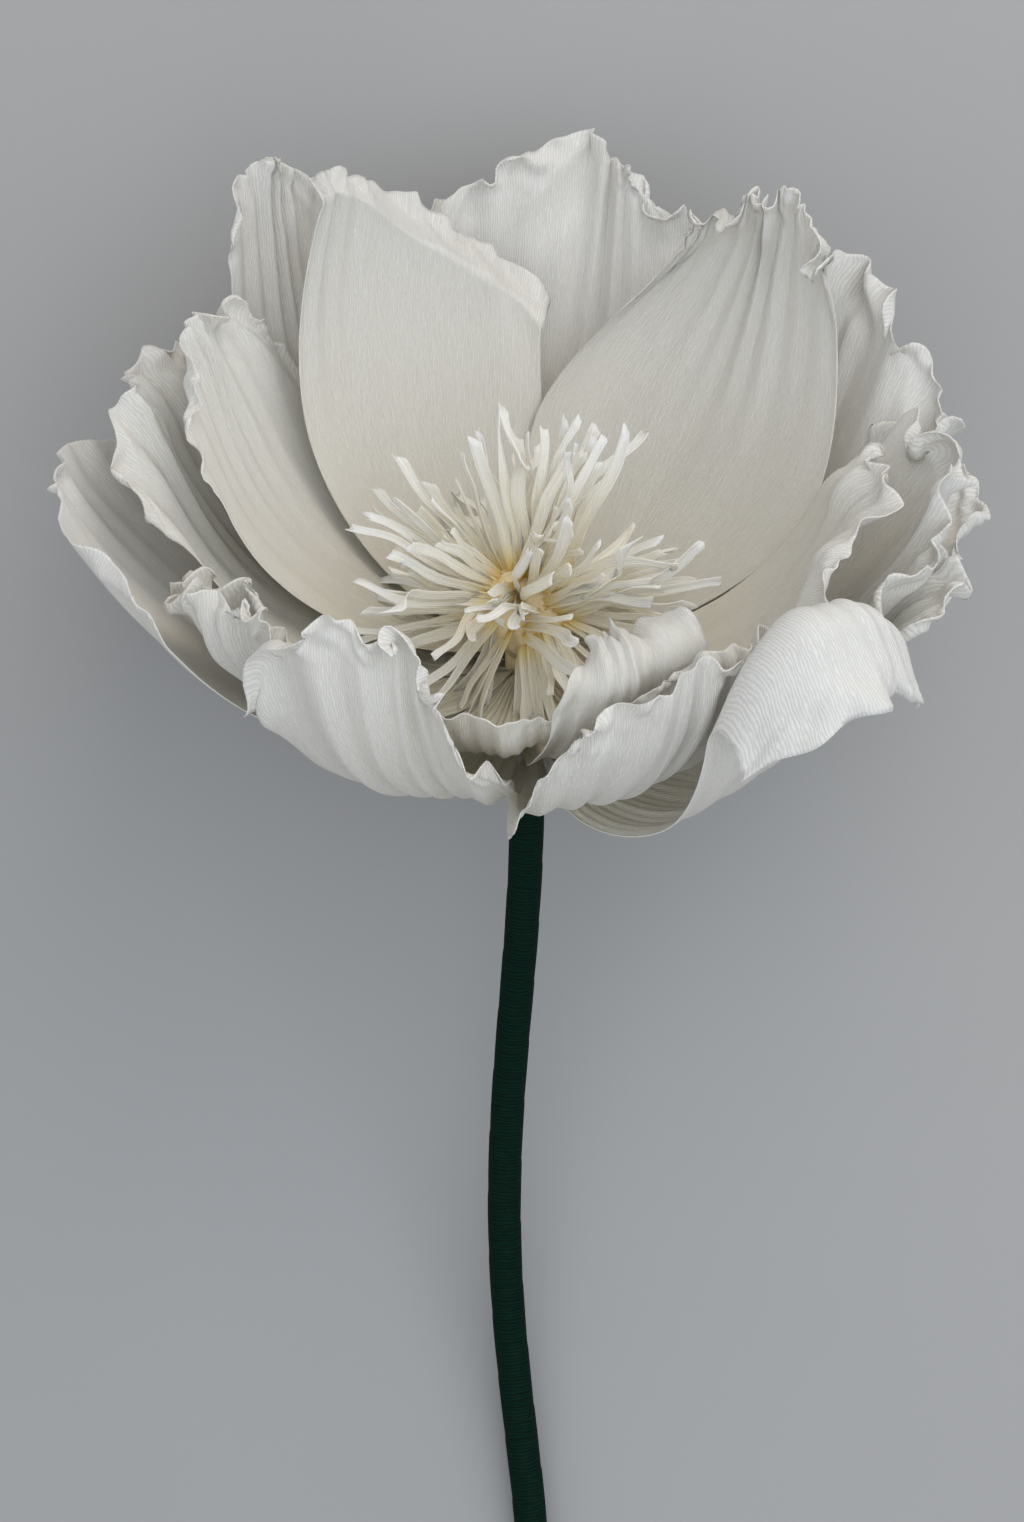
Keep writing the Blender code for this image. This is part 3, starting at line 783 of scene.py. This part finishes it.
def wound_tube(name, line, settings):
    """Closed tube along a line, its outside wound with overlapping tape."""
    bore = WIRE_RADIUS + SEAT_GAP
    width = STEM_RADIUS * math.tau / SIDES
    run = 0.0
    rings, places = [], []
    for index, point in enumerate(line):
        before, after = line[max(index - 1, 0)], line[min(index + 1, len(line) - 1)]
        forward = (after - before).normalized()
        right = forward.cross(Vector((0, 0, 1))).normalized()
        upward = right.cross(forward)
        if index:
            run += (point - line[index - 1]).length
        outer, inner, spots = [], [], []
        for step in range(SIDES):
            angle = math.tau * step / SIDES
            ray = right * math.cos(angle) + upward * math.sin(angle)
            turns = run / settings.wrap_pitch - step / SIDES
            overlap = turns - math.floor(turns)
            outer.append(point + ray * (STEM_RADIUS - settings.wrap_step * overlap ** 3))
            inner.append(point + ray * bore)
            spots.append((run, step * width))
        rings.append((outer, inner))
        places.append(spots)

    shape = bmesh.new()
    layer = shape.loops.layers.uv.new("UVMap")
    way_back = rings[::-BORE_EVERY]
    if way_back[-1] is not rings[0]:
        way_back.append(rings[0])
    loops = [[shape.verts.new(place) for place in ring[0]] for ring in rings]
    loops += [[shape.verts.new(place) for place in ring[1]] for ring in way_back]
    for number, ring in enumerate(loops):
        other = loops[(number + 1) % len(loops)]
        spots = places[min(number, len(places) - 1)]
        ahead = places[min(number + 1, len(places) - 1)]
        for step in range(SIDES):
            beside = (step + 1) % SIDES
            face = shape.faces.new((ring[step], other[step], other[beside], ring[beside]))
            corners = (
                spots[step],
                ahead[step],
                (ahead[step][0], ahead[step][1] + width),
                (spots[step][0], spots[step][1] + width),
            )
            for loop, corner in zip(face.loops, corners):
                loop[layer].uv = corner
    bmesh.ops.recalc_face_normals(shape, faces=shape.faces)
    mesh = bpy.data.meshes.new(name)
    shape.to_mesh(mesh)
    shape.free()
    return mesh


# Core

def covered_ball(name):
    """The ball in the middle, its cover gathered in folds that run from pole to pole."""
    shape = bmesh.new()
    bmesh.ops.create_uvsphere(shape, u_segments=96, v_segments=48, radius=CORE_RADIUS)
    for point in shape.verts:
        azimuth = math.atan2(point.co.y, point.co.x)
        level = point.co.z / CORE_RADIUS
        fold = math.sin(BALL_FOLDS * azimuth + 3 * level) * (1 - level * level)
        point.co *= BALL_FILL + BALL_FOLD_DEPTH * fold
        point.co.z += SEAT_GAP + CORE_RADIUS
    shape.transform(head_matrix())
    mesh = bpy.data.meshes.new(name)
    shape.to_mesh(mesh)
    shape.free()
    return mesh


# Stamens

def strip(settings, random, spot, fan, bend):
    """One flat strip of crepe along +Z, bent out of its own plane, its end cut blunt."""
    along = np.linspace(0, 1, STRIP_ROWS + 1)[:, None]
    across = np.linspace(-1, 1, STRIP_COLUMNS + 1)[None, :]
    length = settings.length * random.uniform(0.62, 1.12)
    width = settings.width / 2 * random.uniform(0.75, 1.20)
    uneven = 1 + 0.07 * np.sin(11 * along + random.uniform(0, 6))
    width = width * (0.65 + 0.35 * smooth(4 * along)) * uneven
    twist = random.normal(0, 0.25) + random.normal(0, 0.7) * along ** 2
    cup = random.uniform(0.2, 1.6)
    side = np.sin(cup * across) / cup * width
    lift = (1 - np.cos(cup * across)) / cup * width
    slanted = 0.03 * random.normal(0, 1) * across
    torn = 0.012 * random.normal(0, 1, STRIP_COLUMNS + 1)[None, :]
    wander = 0.026 * length * np.sin(random.uniform(5, 11) * along + random.uniform(0, 6)) * along
    curled = 0.10 * length * random.normal(0, 1) * smooth(3 * (along - 0.66))
    slide = spot * settings.width * 0.5 + fan * length * along + wander
    rise = bend * length * along ** 2 + curled + spot * STRIP_STEP
    cut = length * (slanted + torn) * smooth(5 * (along - 0.8))
    points = np.stack((
        side * np.cos(twist) - lift * np.sin(twist) + slide,
        side * np.sin(twist) + lift * np.cos(twist) + rise,
        length * along * (1 - 0.4 * bend * bend * along) + cut + 0 * across,
    ), axis=-1)
    places = np.stack((width * across + random.random(), length * along + 0 * across), axis=-1)
    return sheet_solid(points, surface_normals(points), places, settings.paper)


def tuft_mesh(name, settings, number):
    """A tuft of two to four strips, cut side by side and fanned a little; +Y is its flat side."""
    random = np.random.default_rng(SEEDS["tufts"] + number)
    strips = 2 + number % 3
    bend = random.normal(0, 0.16)
    sheets = []
    for spot in range(strips):
        offset = spot - (strips - 1) / 2
        fan = offset * random.uniform(0.06, 0.16) + random.normal(0, 0.03)
        sheets.append(strip(settings, random, offset, fan, bend + random.normal(0, 0.09)))
    return sheet_mesh(name, sheets)


def stamen_seats(settings):
    """Points on the core where the tufts sit, with the way that each leans and its size."""
    random = np.random.default_rng(SEEDS["seats"])
    seats, ways, sizes = [], [], []
    golden = math.pi * (3 - math.sqrt(5))
    for number in range(settings.count):
        share = (number + 0.5) / settings.count
        rise = math.radians(LOWEST_TUFT + TUFT_RISE * share) + random.uniform(-0.12, 0.12)
        azimuth = golden * number + random.uniform(-0.15, 0.15)
        way = np.array((
            math.cos(azimuth) * math.cos(rise), math.sin(azimuth) * math.cos(rise), math.sin(rise),
        ))
        lean = way + random.normal(0, TUFT_LEAN, 3)
        seats.append(np.array((0, 0, SEAT_GAP + CORE_RADIUS)) + way * CORE_RADIUS * SEAT_DEPTH)
        ways.append(lean / np.linalg.norm(lean))
        sizes.append(random.uniform(0.85, 1.12))
    mesh = bpy.data.meshes.new("stamen_seats")
    mesh.from_pydata(seats, [], [])
    way_layer = mesh.attributes.new("way", "FLOAT_VECTOR", "POINT")
    way_layer.data.foreach_set("vector", np.array(ways).reshape(-1))
    mesh.attributes.new("long", "FLOAT", "POINT").data.foreach_set("value", sizes)
    return mesh


def stamen_tree(tufts, material):
    """Geometry nodes: one tuft on each seat, turned along its way, made real.

    Returns the tree and the identifiers of its inputs by their names.
    """
    tree = bpy.data.node_groups.new("Stamens on seats", "GeometryNodeTree")
    sockets = {
        name: tree.interface.new_socket(name, in_out="INPUT", socket_type=kind).identifier
        for name, kind in (
            ("Geometry", "NodeSocketGeometry"),
            ("Tuft size", "NodeSocketFloat"),
            ("Seed", "NodeSocketInt"),
            ("Facing", "NodeSocketVector"),
        )
    }
    tree.interface.new_socket("Geometry", in_out="OUTPUT", socket_type="NodeSocketGeometry")
    start = node(tree, "NodeGroupInput")
    way = node(tree, "GeometryNodeInputNamedAttribute", data_type="FLOAT_VECTOR", inputs={0: "way"})
    long = node(tree, "GeometryNodeInputNamedAttribute", data_type="FLOAT", inputs={0: "long"})
    turn = node(
        tree, "FunctionNodeAlignRotationToVector", (("Vector", way.outputs[0]),), axis="Z"
    )
    flat = node(
        tree, "FunctionNodeAlignRotationToVector",
        (("Rotation", turn.outputs[0]), ("Vector", start.outputs["Facing"])), axis="Y", pivot_axis="Z",
    )
    spin = node(
        tree, "FunctionNodeRandomValue", (("Seed", start.outputs["Seed"]),), data_type="FLOAT",
        inputs={2: -TUFT_TURN, 3: TUFT_TURN},
    )
    about = node(tree, "ShaderNodeCombineXYZ", (("Z", spin.outputs[1]),))
    full = node(
        tree, "FunctionNodeRotateRotation",
        (("Rotation", flat.outputs[0]), ("Rotate By", about.outputs[0])), rotation_space="LOCAL",
    )
    grow = node(
        tree, "ShaderNodeMath", ((0, long.outputs[0]), (1, start.outputs["Tuft size"])),
        operation="MULTIPLY",
    )
    kinds = node(
        tree, "GeometryNodeCollectionInfo", inputs={"Collection": tufts, "Separate Children": True}
    )
    placed = node(
        tree, "GeometryNodeInstanceOnPoints",
        (("Points", start.outputs[0]), ("Instance", kinds.outputs[0]),
         ("Rotation", full.outputs[0]), ("Scale", grow.outputs[0])),
        inputs={"Pick Instance": True},
    )
    real = node(tree, "GeometryNodeRealizeInstances", ((0, placed.outputs[0]),))
    finish = node(
        tree, "GeometryNodeSetMaterial", ((0, real.outputs[0]),), inputs={"Material": material}
    )
    node(tree, "NodeGroupOutput", ((0, finish.outputs[0]),))
    return tree, sockets


# Settings

class PeonyPetalSettings(bpy.types.PropertyGroup):
    """Paper and hand work of the petals."""
    paper: bpy.props.FloatProperty(
        name="Paper", description="Thickness of a petal", default=0.00035, unit="LENGTH", precision=5)
    grain_pitch: bpy.props.FloatProperty(
        name="Grain pitch", description="From one ridge of the crepe to the next",
        default=0.0005, unit="LENGTH", precision=5)
    grain_length: bpy.props.FloatProperty(
        name="Grain length", description="Length of a ridge of the crepe",
        default=0.0028, unit="LENGTH", precision=5)
    grain_depth: bpy.props.FloatProperty(
        name="Grain depth", description="Height of the crepe's ridges",
        default=0.00011, unit="LENGTH", precision=5)
    rim_band: bpy.props.FloatProperty(
        name="Rim band", description="Width of the crushed edge", default=0.032, unit="LENGTH")
    rim_ruffle: bpy.props.FloatProperty(
        name="Rim ruffle", description="Height of the waves at the edge",
        default=0.0034, unit="LENGTH", precision=5)
    rim_fold: bpy.props.FloatProperty(
        name="Rim fold", description="Degrees by which the edge folds over where it does",
        default=120.0)
    fold_width: bpy.props.FloatProperty(
        name="Fold width", description="Width of the folded edge",
        default=0.0080, unit="LENGTH", precision=5)
    fold_arc: bpy.props.FloatProperty(
        name="Fold arc", description="Run in which the folded edge turns",
        default=0.0026, unit="LENGTH", precision=5)
    pinch_depth: bpy.props.FloatProperty(
        name="Pinch depth", description="Depth of the folds that run to a pinched rim",
        default=0.0055, unit="LENGTH", precision=5)
    crease_depth: bpy.props.FloatProperty(
        name="Crease depth", description="Depth of the long creases",
        default=0.0009, unit="LENGTH", precision=5)
    gather_depth: bpy.props.FloatProperty(
        name="Gather depth", description="Depth of the pleats at the foot",
        default=0.0004, unit="LENGTH", precision=5)
    ragged: bpy.props.FloatProperty(
        name="Ragged edge", description="How uneven the edge is", default=0.0012, unit="LENGTH",
        precision=5)
    rows: bpy.props.IntProperty(name="Rows", description="Quads along a petal", default=82)
    columns: bpy.props.IntProperty(name="Columns", description="Quads across a petal", default=106)
    # Painted warm shade: the cream that the white paper shows deep in the cup
    foot_shade_color: bpy.props.FloatVectorProperty(
        name="Foot colour", description="Colour at the gathered foot", subtype="COLOR",
        default=linear("F0E7CC")[:3])
    wall_color: bpy.props.FloatVectorProperty(
        name="Wall colour", description="Colour above the foot", subtype="COLOR",
        default=linear("ECE8D9")[:3])
    inside_color: bpy.props.FloatVectorProperty(
        name="Inside colour", description="Colour halfway up a petal", subtype="COLOR",
        default=linear("E6E3DA")[:3])
    rim_color: bpy.props.FloatVectorProperty(
        name="Rim colour", description="Colour at the edge", subtype="COLOR",
        default=linear("E8E7E3")[:3])
    # Painted shade: the petal paper is darkened by this colour between the grain's ridges
    hollow_shade_color: bpy.props.FloatVectorProperty(
        name="Hollow colour", description="Shade between the ridges", subtype="COLOR",
        default=linear("E2E0DC")[:3])


class PeonyCoreSettings(bpy.types.PropertyGroup):
    """The cover of the ball and the collar."""
    cover_color: bpy.props.FloatVectorProperty(
        name="Cover colour", description="Colour of the cover", subtype="COLOR",
        default=linear("F5E8C6")[:3])
    # Painted shade: the cover takes this darker colour where its crushed patches sink
    hollow_shade_color: bpy.props.FloatVectorProperty(
        name="Hollow colour", description="Colour where it's crushed", subtype="COLOR",
        default=linear("EBD9AE")[:3])


class PeonyStamenSettings(bpy.types.PropertyGroup):
    """The strips in the middle."""
    count: bpy.props.IntProperty(name="Count", description="How many tufts", default=56)
    variants: bpy.props.IntProperty(name="Variants", description="How many kinds of tuft", default=14)
    length: bpy.props.FloatProperty(
        name="Length", description="Length of a strip", default=0.045, unit="LENGTH")
    width: bpy.props.FloatProperty(
        name="Width", description="Width of a strip", default=0.0035, unit="LENGTH", precision=5)
    paper: bpy.props.FloatProperty(
        name="Paper", description="Thickness of a strip", default=0.0003, unit="LENGTH", precision=5)
    grain_pitch: bpy.props.FloatProperty(
        name="Grain pitch", description="From one ridge of the crepe to the next",
        default=0.0007, unit="LENGTH", precision=5)
    grain_length: bpy.props.FloatProperty(
        name="Grain length", description="Length of a ridge of the crepe",
        default=0.014, unit="LENGTH", precision=5)
    grain_depth: bpy.props.FloatProperty(
        name="Grain depth", description="Height of the crepe's ridges",
        default=0.00011, unit="LENGTH", precision=5)
    root_color: bpy.props.FloatVectorProperty(
        name="Root colour", description="Tint at the root", subtype="COLOR",
        default=linear("F2BC5A")[:3])
    low_color: bpy.props.FloatVectorProperty(
        name="Low colour", description="Tint just above the root", subtype="COLOR",
        default=linear("FBE4AE")[:3])
    middle_color: bpy.props.FloatVectorProperty(
        name="Middle colour", description="Where the tint ends", subtype="COLOR",
        default=linear("FCF4DF")[:3])
    tip_color: bpy.props.FloatVectorProperty(
        name="Tip colour", description="Colour at the tip", subtype="COLOR",
        default=linear("FFFEF7")[:3])
    # Painted shade: the strips are darkened by this colour between the grain's ridges
    hollow_shade_color: bpy.props.FloatVectorProperty(
        name="Hollow colour", description="Shade between the ridges", subtype="COLOR",
        default=linear("EDE8D9")[:3])


class PeonyStemSettings(bpy.types.PropertyGroup):
    """The wound stem and its wire."""
    wrap_pitch: bpy.props.FloatProperty(
        name="Wrap pitch", description="Run of one turn of the tape", default=0.021, unit="LENGTH")
    wrap_step: bpy.props.FloatProperty(
        name="Wrap step", description="Height of the tape's edge", default=0.0002, unit="LENGTH",
        precision=5)
    grain_pitch: bpy.props.FloatProperty(
        name="Grain pitch", description="From one ridge of the crepe to the next",
        default=0.0011, unit="LENGTH", precision=5)
    grain_length: bpy.props.FloatProperty(
        name="Grain length", description="Length of a ridge of the crepe",
        default=0.006, unit="LENGTH", precision=5)
    grain_depth: bpy.props.FloatProperty(
        name="Grain depth", description="Height of the crepe's ridges",
        default=0.00005, unit="LENGTH", precision=5)
    wrap_color: bpy.props.FloatVectorProperty(
        name="Wrap colour", description="Colour on the ridges", subtype="COLOR",
        default=linear("04241A")[:3])
    shade_color: bpy.props.FloatVectorProperty(
        name="Shade colour", description="Colour in the hollows", subtype="COLOR",
        default=linear("021510")[:3])
    wire_color: bpy.props.FloatVectorProperty(
        name="Wire colour", description="Colour of the steel", subtype="COLOR",
        default=linear("A9AAAD")[:3])


class PeonyStageSettings(bpy.types.PropertyGroup):
    """Floor, room and camera."""
    floor_color: bpy.props.FloatVectorProperty(
        name="Floor colour", description="Colour of the surface below", subtype="COLOR",
        default=linear("A9AAAB")[:3])
    room_color: bpy.props.FloatVectorProperty(
        name="Room colour", description="Colour of the light from all sides", subtype="COLOR",
        default=linear("E4E6EA")[:3])
    room_strength: bpy.props.FloatProperty(
        name="Room strength", description="Strength of the light from all sides", default=0.56)
    lens: bpy.props.FloatProperty(
        name="Lens", description="Focal length in millimetres", default=85.0)


# Operators

class PEONY_OT_petals(bpy.types.Operator):
    """Make the ruffled petals in place of their plain solids"""
    bl_idname = "peony.petals"
    bl_label = "Make petals"

    def execute(self, context):
        settings = context.scene.peony_petals
        material = white_crepe_material(settings)
        turn = np.array(head_turn())
        place = np.array(head_place())
        for number, petal in enumerate(PETALS):
            points, normals, places = petal_surface(petal, settings, number)
            sheet = sheet_solid(points @ turn.T + place, normals @ turn.T, places, settings.paper)
            name = f"crepe_{petal.name}"
            add_piece(name, sheet_mesh(name, (sheet,)), material, (petal.name,))
        return {"FINISHED"}


class PEONY_OT_core(bpy.types.Operator):
    """Make the covered ball in the middle and dress the collar below it"""
    bl_idname = "peony.core"
    bl_label = "Make core"

    def execute(self, context):
        material = cover_crepe_material(context.scene.peony_core)
        ball = covered_ball("covered_core")
        add_piece("covered_core", ball, material, ("flower_core",))
        dress("receptacle", material)
        return {"FINISHED"}


class PEONY_OT_stamens(bpy.types.Operator):
    """Make the tufts of twisted strips round the core"""
    bl_idname = "peony.stamens"
    bl_label = "Make stamens"

    def execute(self, context):
        settings = context.scene.peony_stamens
        material = cream_crepe_material(settings)
        tufts = bpy.data.collections.new("tufts")
        for number in range(settings.variants):
            name = f"tuft_{number:02d}"
            tufts.objects.link(bpy.data.objects.new(name, tuft_mesh(name, settings, number)))

        seats = bpy.data.objects.new("stamen_seats", stamen_seats(settings))
        context.scene.collection.objects.link(seats)
        tree, sockets = stamen_tree(tufts, material)
        modifier = seats.modifiers.new("Stamens", "NODES")
        modifier.node_group = tree
        modifier[sockets["Tuft size"]] = 1.0
        modifier[sockets["Seed"]] = SEEDS["turns"]
        modifier[sockets["Facing"]] = tuple(head_turn().transposed() @ Vector((0, 0, 1)))
        graph = context.evaluated_depsgraph_get()
        made = bpy.data.meshes.new_from_object(seats.evaluated_get(graph))
        made.transform(head_matrix())
        seats.modifiers.remove(modifier)
        for spare in (seats, *tufts.objects):
            bpy.data.objects.remove(spare)
        bpy.data.collections.remove(tufts)
        if len(made.polygons) < settings.count:
            raise RuntimeError("the stamens have too few faces")
        fringes = [name for name in frame["nodes"] if name.startswith("stamen_fringe")]
        add_piece("crepe_stamens", made, material, fringes)
        return {"FINISHED"}


class PEONY_OT_stem(bpy.types.Operator):
    """Make the wound stem and finish the wire in it"""
    bl_idname = "peony.stem"
    bl_label = "Make stem"

    def execute(self, context):
        settings = context.scene.peony_stem
        mesh = wound_tube("wound_stem", stem_line(), settings)
        add_piece("wound_stem", mesh, green_crepe_material(settings), ("stem_wrap",))
        dress("stem_wire", steel_wire_material(settings))
        return {"FINISHED"}


class PEONY_OT_stage(bpy.types.Operator):
    """Make the floor, the soft lamps and the camera above the flower"""
    bl_idname = "peony.stage"
    bl_label = "Make stage"

    def execute(self, context):
        settings = context.scene.peony_stage
        scene = context.scene
        bpy.ops.mesh.primitive_plane_add(size=FLOOR_SIZE)
        floor = context.object
        floor.name = "floor"
        floor.data.materials.append(floor_material(settings))

        head = head_place()
        for name, place, size, power, color in LAMPS:
            data = bpy.data.lights.new(name, "AREA")
            data.size = size
            data.energy = power
            data.color = linear(color)[:3]
            lamp = bpy.data.objects.new(name, data)
            lamp.location = head + Vector(place)
            lamp.rotation_euler = Vector(place).to_track_quat("Z", "Y").to_euler()
            scene.collection.objects.link(lamp)

        world = bpy.data.worlds.new("soft room")
        scene.world = world
        world.use_nodes = True
        sky = world.node_tree.nodes["Background"]
        sky.inputs["Color"].default_value = (*settings.room_color, 1.0)
        sky.inputs["Strength"].default_value = settings.room_strength

        data = bpy.data.cameras.new("camera")
        data.lens = settings.lens
        camera = bpy.data.objects.new("camera", data)
        camera.location = (
            head.x + (PHOTO_SIZE[0] / 2 - FEET_PIXEL[0]) * PIXEL,
            head.y + (FEET_PIXEL[1] - PHOTO_SIZE[1] / 2) * PIXEL,
            head.z + PHOTO_SIZE[1] * PIXEL * data.lens / data.sensor_width,
        )
        scene.collection.objects.link(camera)
        scene.camera = camera
        scene.view_settings.view_transform = "Standard"
        return {"FINISHED"}


class PEONY_PT_panel(bpy.types.Panel):
    """Lists the steps that dress the flower"""
    bl_idname = "PEONY_PT_panel"
    bl_label = "Crepe paper peony"
    bl_space_type = "VIEW_3D"
    bl_region_type = "UI"
    bl_category = "Peony"

    def draw(self, context):
        for operator in OPERATORS:
            self.layout.operator(operator.bl_idname)


SETTINGS = {
    "peony_petals": PeonyPetalSettings,
    "peony_core": PeonyCoreSettings,
    "peony_stamens": PeonyStamenSettings,
    "peony_stem": PeonyStemSettings,
    "peony_stage": PeonyStageSettings,
}
OPERATORS = (
    PEONY_OT_petals,
    PEONY_OT_core,
    PEONY_OT_stamens,
    PEONY_OT_stem,
    PEONY_OT_stage,
)


def register():
    for name, group in SETTINGS.items():
        bpy.utils.register_class(group)
        setattr(bpy.types.Scene, name, bpy.props.PointerProperty(type=group))
    for kind in (*OPERATORS, PEONY_PT_panel):
        bpy.utils.register_class(kind)


def unregister():
    for kind in (PEONY_PT_panel, *reversed(OPERATORS)):
        bpy.utils.unregister_class(kind)
    for name, group in SETTINGS.items():
        delattr(bpy.types.Scene, name)
        bpy.utils.unregister_class(group)


def main():
    register()
    bpy.ops.peony.petals()
    bpy.ops.peony.core()
    bpy.ops.peony.stamens()
    bpy.ops.peony.stem()
    bpy.ops.peony.stage()


if __name__ == "__main__":
    main()
